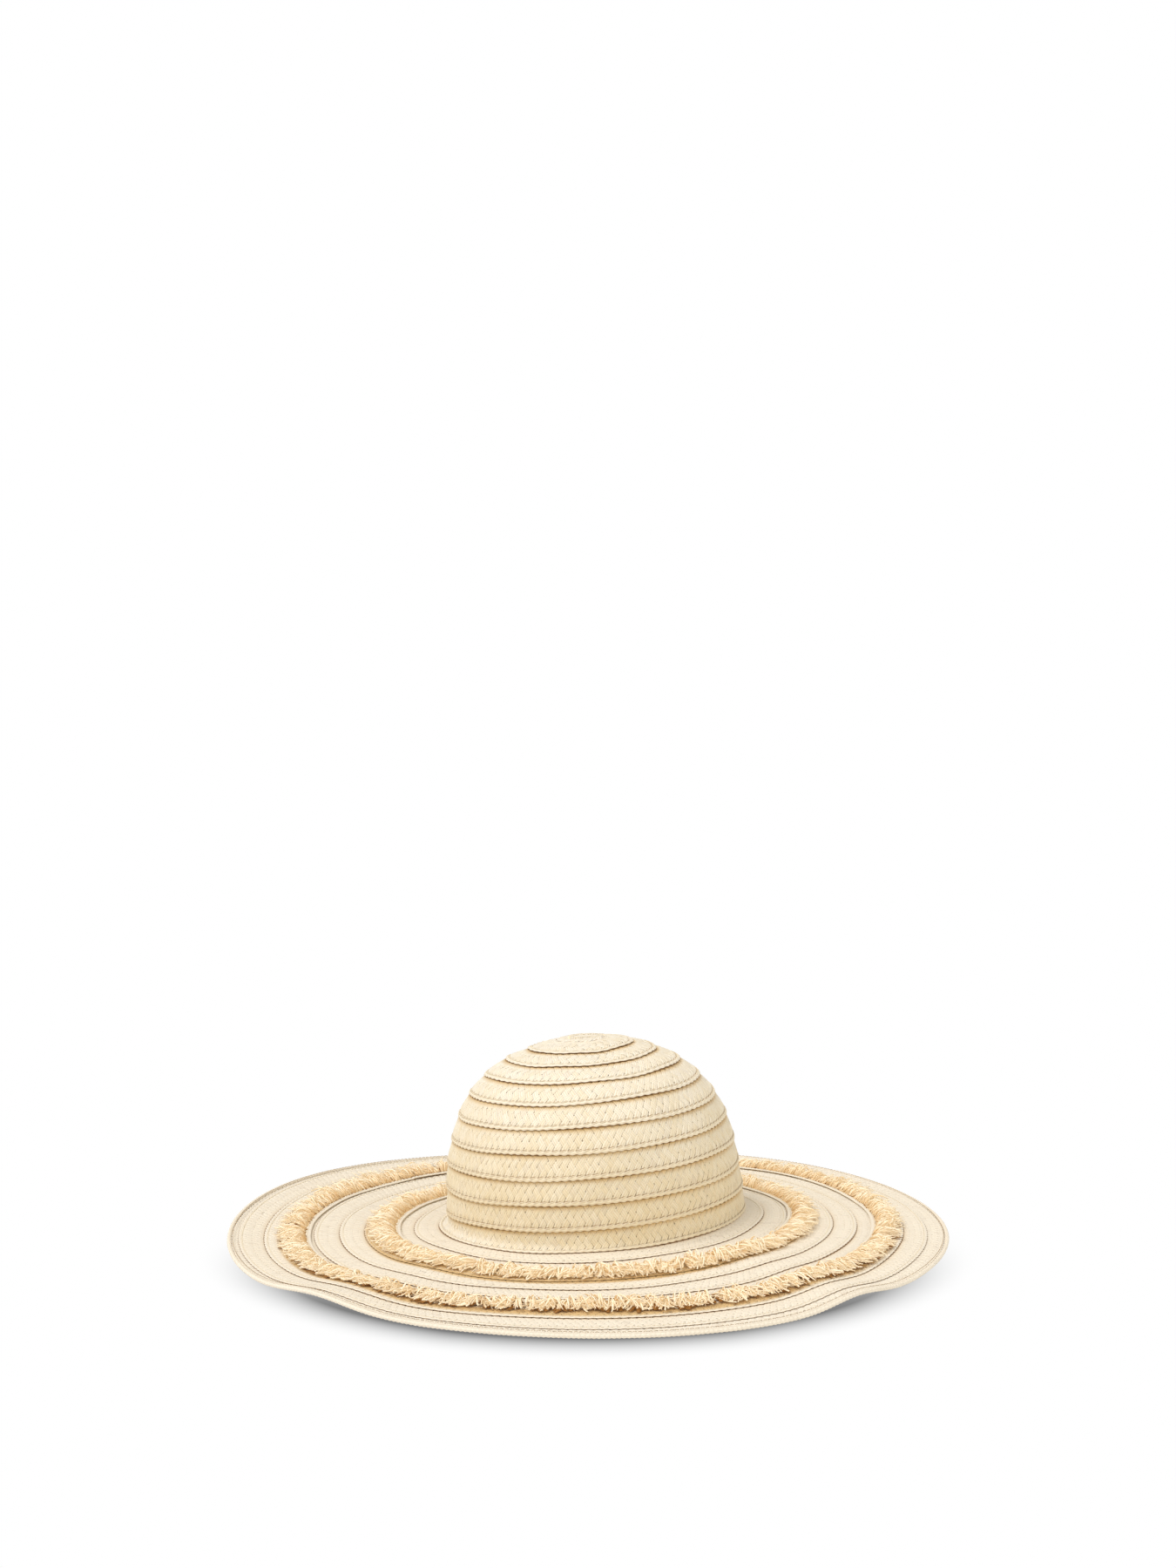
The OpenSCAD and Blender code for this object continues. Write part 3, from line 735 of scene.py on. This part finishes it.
# ---------------------------------------------------------------- stitches
def seam(name, node_name, first_turn, last_turn, stitch_mm, slant, radius, high):
    """Stitches along a stretch of braid, each a short arch of thread that dives in at its ends."""
    pitch = stitch_mm * MM
    n = np.arange(math.ceil(along_of(first_turn) / pitch), math.floor(along_of(last_turn) / pitch))
    u = np.linspace(0, 1, 6)[None, :]
    along = (n[:, None] + 0.5 - 0.44 + 0.88 * u) * pitch
    across = (WIDTH - STITCH_IN + 0.5 * MM + (u - 0.5) * slant) / WIDTH + 0 * n[:, None]
    arch = 0.30 * MM * np.sin(math.pi * u) ** 0.5 - 0.15 * MM + high + 0 * along
    points, faces = tubes(wound(along, across, arch), radius, 6)
    piece = new_piece(name, points, faces, thread)
    stands_for(piece, "hat", "thread", node_name)


seam("crown_stitches", "crown_thread", 0.0, CROWN_TURN,
     stitch_mm=CELL / MM, slant=1.1 * MM, radius=0.32 * MM, high=0.5 * MM)
BRIM_TIERS = (("inner", CROWN_TURN, INNER_TURN), ("middle", INNER_TURN, MIDDLE_TURN),
              ("outer", MIDDLE_TURN, BRAID_TURNS))
for tier, start_turn, end_turn in BRIM_TIERS:
    seam(f"{tier}_brim_stitches", f"brim_thread_{tier}", start_turn, end_turn,
         stitch_mm=BRIM_STITCH_MM, slant=0.2 * MM, radius=0.2 * MM, high=0.32 * MM)


# ---------------------------------------------------------------- fringes
TUFT_MM = 4.1                 # distance between tufts
FLAT_SHARE = 0.22             # shares of the fibres that lie flat, lie low and stand stiffly
LOW_SHARE = 0.24
STIFF_SHARE = 0.20


def tape_high(phi, s):
    """Underside of a tape, resting on the rounds below it and smoothed round the hat."""
    turns = np.linspace(0, 2 * math.pi, 721)
    tops = np.max([top_high(turns, s + d) for d in np.linspace(0, TAPE_WIDTH, 5)], axis=0)
    soft = np.convolve(np.r_[tops[-25:-1], tops, tops[1:25]], np.ones(49) / 49, "valid")
    return np.interp(phi % (2 * math.pi), turns, np.maximum(soft, tops) + 0.1 * MM)


def fringe_tape(name, node_name, at):
    """Narrow tape with a fine slanting weave."""
    s0 = brim_s(at)
    steps, round_mm = 1440, 150
    phi = (np.arange(steps) / steps * 2 * math.pi)[:, None]
    shape = [(0.0, 0.0), (0.0, 0.35), (0.2, 0.6), (0.5, 0.62), (0.8, 0.6), (1.0, 0.35), (1.0, 0.0)]
    share = np.array([p[0] for p in shape])[None, :]
    thick = np.array([p[1] for p in shape])[None, :] * MM
    slant = 0.10 * MM * np.sin(phi * steps / 4 + 2.2 * share) * (thick > 0.4 * MM)
    s = s0 + share * TAPE_WIDTH + 0.2 * MM * np.sin(17 * phi)
    points = spot(phi, s, tape_high(phi, s0) + thick + slant)
    lay = np.stack(np.broadcast_arrays(
        phi * round_mm, 8 + 3 * share, 0.35 + 0.3 * np.sin(phi * 37)), -1)
    fibre = np.stack(np.broadcast_arrays(share * 4, 2 * phi * round_mm, 0.0), -1)
    faces = [f[:, ::-1] for f in tube_faces(1, steps, len(shape), closed=True)]
    piece = new_piece(name, points, faces, BRIM.material, extra={"lay": lay, "fibre": fibre})
    stands_for(piece, "hat", "straw_tape", node_name)


def tape_seam(name, node_name, at):
    s0 = brim_s(at)
    r = np.interp(s0, S, R)
    phi, arch = round_stitches(int(2 * math.pi * r / (3.2 * MM)), 0.1)
    paths = spot(phi, s0 + TAPE_WIDTH * 0.5, tape_high(phi, s0) + 0.5 * MM + 0.22 * MM * arch)
    points, faces = tubes(paths, 0.2 * MM, 5)
    stands_for(new_piece(name, points, faces, thread), "hat", "thread", node_name)


def blades(paths, twist, half):
    """Flat four-sided fibres along paths, turned about them by twist, with half their width."""
    along = np.gradient(paths, axis=1)
    along /= np.linalg.norm(along, axis=2, keepdims=True)
    side = np.cross(along, np.array([0.0, 0.0, 1.0]))
    side /= np.linalg.norm(side, axis=2, keepdims=True) + 1e-9
    up = np.cross(side, along)
    face = side * np.cos(twist)[..., None] + up * np.sin(twist)[..., None]
    normal = np.cross(face, along)
    thick = half * 0.18
    return np.stack([paths - face * half[..., None], paths - normal * thick[..., None],
                     paths + face * half[..., None], paths + normal * thick[..., None]], axis=2)


def fringe(name, node_name, at, per_mm, deep, seed):
    """Loose flat fibres in tufts, rooted under the tape's outer side: they rise, arch over and droop.

    deep is the tone of the flat fibres that lie lowest, where 2 is the brown of the painted shade under the
    fringe.
    """
    rng = np.random.default_rng(seed)
    s_root = brim_s(at) + TAPE_WIDTH
    r = np.interp(s_root, S, R)
    tufts = int(2 * math.pi * r / (TUFT_MM * MM))
    each = int(round(per_mm * TUFT_MM))
    count = tufts * each
    column = (count, 1)
    tuft = np.repeat(np.arange(tufts), each)[:, None]
    tuft_turn = (np.arange(tufts) + rng.uniform(-0.35, 0.35, tufts)) / tufts * 2 * math.pi
    tuft_yaw = rng.normal(0, 0.36, tufts)
    tuft_n = np.arange(tufts)
    tuft_rise = rng.normal(0, 0.7, tufts) + 0.6 * np.sin(tuft_n * 0.9 + 3 * np.sin(tuft_n * 0.31))
    kind = rng.random(column)
    flat = kind < FLAT_SHARE
    low_layer = (kind >= FLAT_SHARE) & (kind < FLAT_SHARE + LOW_SHARE)
    stiff = kind > 1 - STIFF_SHARE
    layer = np.select([flat, low_layer], [0 * kind, 0.3 * rng.random(column)], 0.3 + 0.7 * rng.random(column))
    spread = rng.uniform(-2.2, 2.2, column) * MM
    length = (rng.normal(14.3, 2.6, column).clip(8, 18.5) - 1.5 * flat) * MM
    yaw = tuft_yaw[tuft] + rng.normal(0, 0.25, column)
    rise = (1.0 + 5.0 * layer + 0.8 * tuft_rise[tuft] + rng.normal(0, 0.6, column)).clip(0.6, 7.5) * MM
    droop = rng.normal(0.35, 0.25, column).clip(0.0, 0.95)
    curl = rng.normal(0, 1.5, column) * MM
    start = rng.uniform(-1.6, 0.6, column) * MM
    # Across and along the brim
    u = np.linspace(0, 1, 6)[None, :]
    out = length * u * np.cos(yaw * u)
    aside = spread * (1 - 0.35 * u) + length * u * np.sin(yaw) * (0.6 + 0.4 * u) + curl * u ** 2
    phi = tuft_turn[tuft] + aside / r
    s = s_root + start + out
    # Height, clear of the tape and the braid
    low = np.where(u > 0.2, top_high(phi, s), tape_high(phi, brim_s(at)) - 0.1 * MM)
    arch = np.where(stiff, rise * u ** 0.8,
                    rise * np.sin(math.pi * u ** 0.8 * (1 - 0.45 * droop)) - 0.6 * MM * u ** 2)
    arch = np.where(flat, 0.3 * MM, arch)
    hang = np.select([flat, low_layer], [0.1, 1.3], 2.2) * MM * rng.uniform(0.6, 1.3, column)
    high = np.maximum(tape_high(phi, brim_s(at)) + 0.2 * MM + arch, low + 0.35 * MM + hang * u)
    twist = rng.normal(0, 0.45, column) + rng.normal(0, 0.9, column) * u
    twist = np.where(flat, 0.0, twist)
    wide = rng.uniform(0.28, 0.72, column) + np.select([flat, low_layer], [1.0, 0.3], 0.0)
    ring = blades(spot(phi, s, high), twist, wide * MM * (1.0 - 0.35 * u ** 3))
    tone = (0.45 + 0.15 * tuft_rise[tuft] + rng.normal(0, 0.3, column)).clip(0, 1)
    # The lowest flat fibres take the tone of the painted shade
    tone = np.where(flat, deep, tone)
    seeds = rng.random(column) * 40
    data = np.stack(np.broadcast_arrays(u[..., None], seeds[..., None], tone[..., None]), -1)
    data = np.broadcast_to(data, ring.shape)
    for i, part in enumerate(np.array_split(np.arange(count), 2)):
        piece = new_piece(f"{name}_{i + 1}", ring[part], tube_faces(len(part), 6, 4), raffia,
                          extra={"fibre": data[part]})
        stands_for(piece, "hat", "raffia", node_name)


fringe_tape("inner_tape", "fringe_tape_inner", INNER_FRINGE_AT)
fringe_tape("outer_tape", "fringe_tape_outer", OUTER_FRINGE_AT)
tape_seam("inner_tape_stitches", "fringe_thread_inner", INNER_FRINGE_AT)
tape_seam("outer_tape_stitches", "fringe_thread_outer", OUTER_FRINGE_AT)
fringe("inner_raffia", "fringe_inner", INNER_FRINGE_AT, per_mm=5.4, deep=1.35, seed=5)
fringe("outer_raffia", "fringe_outer", OUTER_FRINGE_AT, per_mm=5.2, deep=1.9, seed=8)


# ---------------------------------------------------------------- rolled edge
ROLL_S = EDGE_S + ROLL_RADIUS + ROLL_GAP
ROLL_HIGH = 0.9 * MM
EDGE_RADIUS = 0.23


def rolled_edge():
    """The rolled lip: a tube with the slanting ridges of the braid's selvage wound round it."""
    steps, ring, ridges, round_mm = 2600, 10, 516, 232
    round_mm = 232
    phi = (np.arange(steps) / steps * 2 * math.pi)[:, None]
    u = (np.arange(ring) / ring * 2 * math.pi)[None, :]
    swell = 1 + 0.12 * np.sin(ridges * phi + 1.2 * np.cos(u)) + 0.03 * np.sin(31 * phi)
    radius = ROLL_RADIUS * 0.88 * swell
    points = spot(phi, ROLL_S + radius * np.cos(u), ROLL_HIGH + radius * np.sin(u))
    lay = np.stack(np.broadcast_arrays(
        phi * round_mm, 8 + 0 * u, 0.8 + 0.4 * np.sin(ridges * phi)), -1)
    fibre = np.stack(np.broadcast_arrays(2 * np.cos(u), 2 * phi * round_mm + u, 0 * u), -1)
    faces = tube_faces(1, steps, ring, closed=True)
    piece = new_piece("rolled_edge", points, faces, BRIM.material, extra={"lay": lay, "fibre": fibre})
    stands_for(piece, "hat", "straw_braid", "edge_roll")


def edge_seam():
    phi, arch = round_stitches(int(2 * math.pi * EDGE_RADIUS / (3.0 * MM)), 0.12)
    paths = spot(phi, EDGE_S - 0.5 * MM, BRAID_TOP - 0.1 * MM + 0.3 * MM * arch)
    points, faces = tubes(paths, 0.16 * MM, 5)
    stands_for(new_piece("edge_stitches", points, faces, edge_twine), "hat", "thread", "edge_thread")


def ring_wire(name, node_name, slot_name, material, radius, start, end, steps):
    """Wire inside the rolled edge, all the way round or along a stretch of it."""
    closed = end - start >= 2 * math.pi - 1e-6
    phi = np.linspace(start, end, steps, endpoint=not closed)[:, None]
    u = (np.arange(8) / 8 * 2 * math.pi)[None, :]
    points = spot(phi, ROLL_S + radius * np.cos(u), ROLL_HIGH + radius * np.sin(u))
    piece = new_piece(name, points, tube_faces(1, steps, 8, closed), material)
    stands_for(piece, "hat", slot_name, node_name)


rolled_edge()
edge_seam()
ring_wire("spring_wire", "brim_wire", "wire", steel, radius=0.4 * MM, start=0, end=2 * math.pi, steps=720)
ring_wire("crimped_sleeve", "wire_sleeve", "wire_sleeve", soft_metal, radius=0.7 * MM,
          start=math.radians(83.9), end=math.radians(87.2), steps=12)


# ---------------------------------------------------------------- start of the braid at the tip
TIP_LONG = 21 * MM
TIP_WIDE = PITCH + 2 * MM


def on_tip(x, y, high):
    """Points on the tip, from distances along and across it and a height above the dome."""
    r = np.hypot(x, y * MEAN_HALF / CROWN_HALF_Y)
    z = np.interp(r, R[:DOME_STEPS], Z[:DOME_STEPS]) + high
    return np.stack([x + CROWN_ASIDE - CROWN_LEAN * (z - FOOT_HEIGHT), y, z + CROWN_LEAN * x], -1)


def tip_lift(x, y):
    """Height of the tip's strip: it dips in the middle, where the first round turns."""
    return 1.1 * MM + 0.02 * np.hypot(x, y)


def tip_place(along, across, high):
    """Lays flat braid straight across the tip, following the dome."""
    x, y = np.clip(along, 0, TIP_LONG) - TIP_LONG / 2, (0.5 - across) * TIP_WIDE
    return on_tip(x, y, tip_lift(x, y) + high)


def tip_frays():
    """Loose straws at the two cut ends of the tip's strip."""
    rng = np.random.default_rng(21)
    count = 90
    end = np.where(np.arange(count) % 2 == 0, 1.0, -1.0)[:, None]
    u = np.linspace(0, 1, 5)[None, :]
    y = rng.uniform(-0.46, 0.46, count)[:, None] * PITCH + rng.normal(0, 0.8, count)[:, None] * MM * u
    x = end * (TIP_LONG / 2 - 1.0 * MM + rng.uniform(1.2, 3.6, count)[:, None] * MM * u)
    paths = on_tip(x, y, tip_lift(x, y) + 0.1 * MM + 0.4 * MM * np.sin(2 * u) - 0.8 * MM * u)
    points, faces = tubes(paths, 0.2 * MM, 3)
    tones = rng.random(count)[:, None, None]
    shares = np.linspace(0.2, 0.5, 5)[None, :, None] + np.zeros(points.shape[:3])
    data = np.stack(np.broadcast_arrays(shares, tones * 40, 0.5 + 0.5 * tones), -1)
    frays = new_piece("tip_frays", points, faces, raffia, extra={"fibre": data})
    stands_for(frays, "hat", "straw_braid")


def tip_seam():
    """Stitches along the four sides of the tip's strip."""
    corner = np.array([TIP_LONG / 2 - STITCH_IN, PITCH / 2 - STITCH_IN])
    paths = []
    arch = 0.2 * MM * np.sin(np.linspace(0, math.pi, 5))
    corners = np.array([(-1, -1), (1, -1), (1, 1), (-1, 1)]) * corner
    for a, b in zip(corners, np.roll(corners, -1, axis=0)):
        n = int(np.linalg.norm(b - a) / (3.2 * MM))
        for i in range(n):
            x, y = (a + (b - a) * (i + np.linspace(0.12, 0.88, 5))[:, None] / n).T
            paths.append(on_tip(x, y, tip_lift(x, y) + 0.4 * MM + arch))
    points, faces = tubes(np.array(paths), 0.22 * MM, 6)
    stands_for(new_piece("tip_stitches", points, faces, thread), "hat", "thread", "crown_tip_thread")


tip_strip = plait_piece("tip_plait", 0, TIP_LONG, tip_place, CROWN, seed=3, corded=False)
stands_for(tip_strip, "hat", "straw_braid", "crown_tip_braid")
tip_frays()
tip_seam()


# ---------------------------------------------------------------- sweatband and label
BAND_HEIGHT = 0.028
BAND_LOW = FOOT_S - 2 * MM


def sweatband():
    steps, rows = 1500, 9
    phi = (np.arange(steps) / steps * 2 * math.pi)[:, None]
    v = np.r_[np.linspace(0, 1, rows), np.linspace(1, 0, rows)][None, :]
    inner = np.r_[np.ones(rows), np.zeros(rows)][None, :]
    rib = 0.07 * MM * np.sin(phi * steps / 4) * np.sin(math.pi * np.clip(v, 0.04, 0.96)) ** 0.3
    ruck = 0.35 * MM * np.sin(7 * phi + 0.4) * np.sin(11 * phi) * v
    high = -0.8 * MM - 0.6 * MM * inner - rib * (2 * inner - 1) - np.abs(ruck)
    points = spot(phi, BAND_LOW - v * BAND_HEIGHT, high)
    faces = tube_faces(1, steps, 2 * rows, closed=True)
    band = new_piece("ribbon_band", points, faces, ribbon)
    stands_for(band, "hat", "ribbon", "sweatband")


def band_seam():
    phi, arch = round_stitches(190, 0.12)
    paths = spot(phi, BAND_LOW - 2.1 * MM, -1.5 * MM - 0.25 * MM * arch)
    points, faces = tubes(paths, 0.2 * MM, 5)
    stands_for(new_piece("band_stitches", points, faces, band_thread), "hat", "ribbon_thread",
               "sweatband_thread")


def label():
    low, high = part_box("label")
    wide, tall = high.x - low.x, high.z - low.z
    y = (low.y + high.y) / 2
    cols, rows = 37, 53
    x = np.linspace(low.x, high.x, cols)[None, :]
    v = np.linspace(0, 1, rows)[:, None]
    z = high.z - v * tall
    curl = -0.9 * MM * v ** 3 + 0.25 * MM * np.sin(v * 5 + x * 180) * v
    weave = 0.03 * MM * (np.sin(x / wide * cols * 1.5) * np.sin(v * rows * 1.5))
    front = np.stack(np.broadcast_arrays(x, y + curl - 0.13 * MM + weave, z), -1)
    behind = np.stack(np.broadcast_arrays(x, y + curl + 0.13 * MM + weave, z), -1)
    points = np.concatenate([front.reshape(-1, 3), behind.reshape(-1, 3)])
    i, j = np.meshgrid(np.arange(rows - 1), np.arange(cols - 1), indexing="ij")
    a = (i * cols + j).ravel()
    quads = np.stack([a, a + cols, a + cols + 1, a + 1], -1)
    total = rows * cols
    rim = np.r_[np.arange(cols), np.arange(1, rows) * cols + cols - 1,
                (rows - 1) * cols + np.arange(cols - 2, -1, -1), np.arange(rows - 2, 0, -1) * cols]
    nxt = np.roll(rim, -1)
    sides = np.stack([rim, nxt, nxt + total, rim + total], -1)
    faces = [quads, quads[:, ::-1] + total, sides]
    flap = new_piece("label_flap_cloth", points, faces, label_cloth)
    stands_for(flap, "label_flap", "label_cloth", "label")


def label_seam():
    low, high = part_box("label_thread")
    middles = np.linspace(low.x + 0.8 * MM, high.x - 0.8 * MM, 7)[:, None]
    u = np.linspace(0, 1, 5)[None, :]
    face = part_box("label_tab")[0].y
    y = face - 0.2 * MM * np.sin(math.pi * u) ** 0.5 + 0.1 * MM
    paths = np.stack(np.broadcast_arrays(middles + (u - 0.5) * 1.5 * MM, y, (low.z + high.z) / 2), -1)
    points, faces = tubes(paths, 0.16 * MM, 5)
    stands_for(new_piece("label_stitches", points, faces, band_thread), "hat", "ribbon_thread",
               "label_thread")


sweatband()
band_seam()
label()
label_seam()

# The label's sewn edge keeps its CAD shape
tab_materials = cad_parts["label_tab"].data.materials
tab_materials.clear()
tab_materials.append(label_cloth)
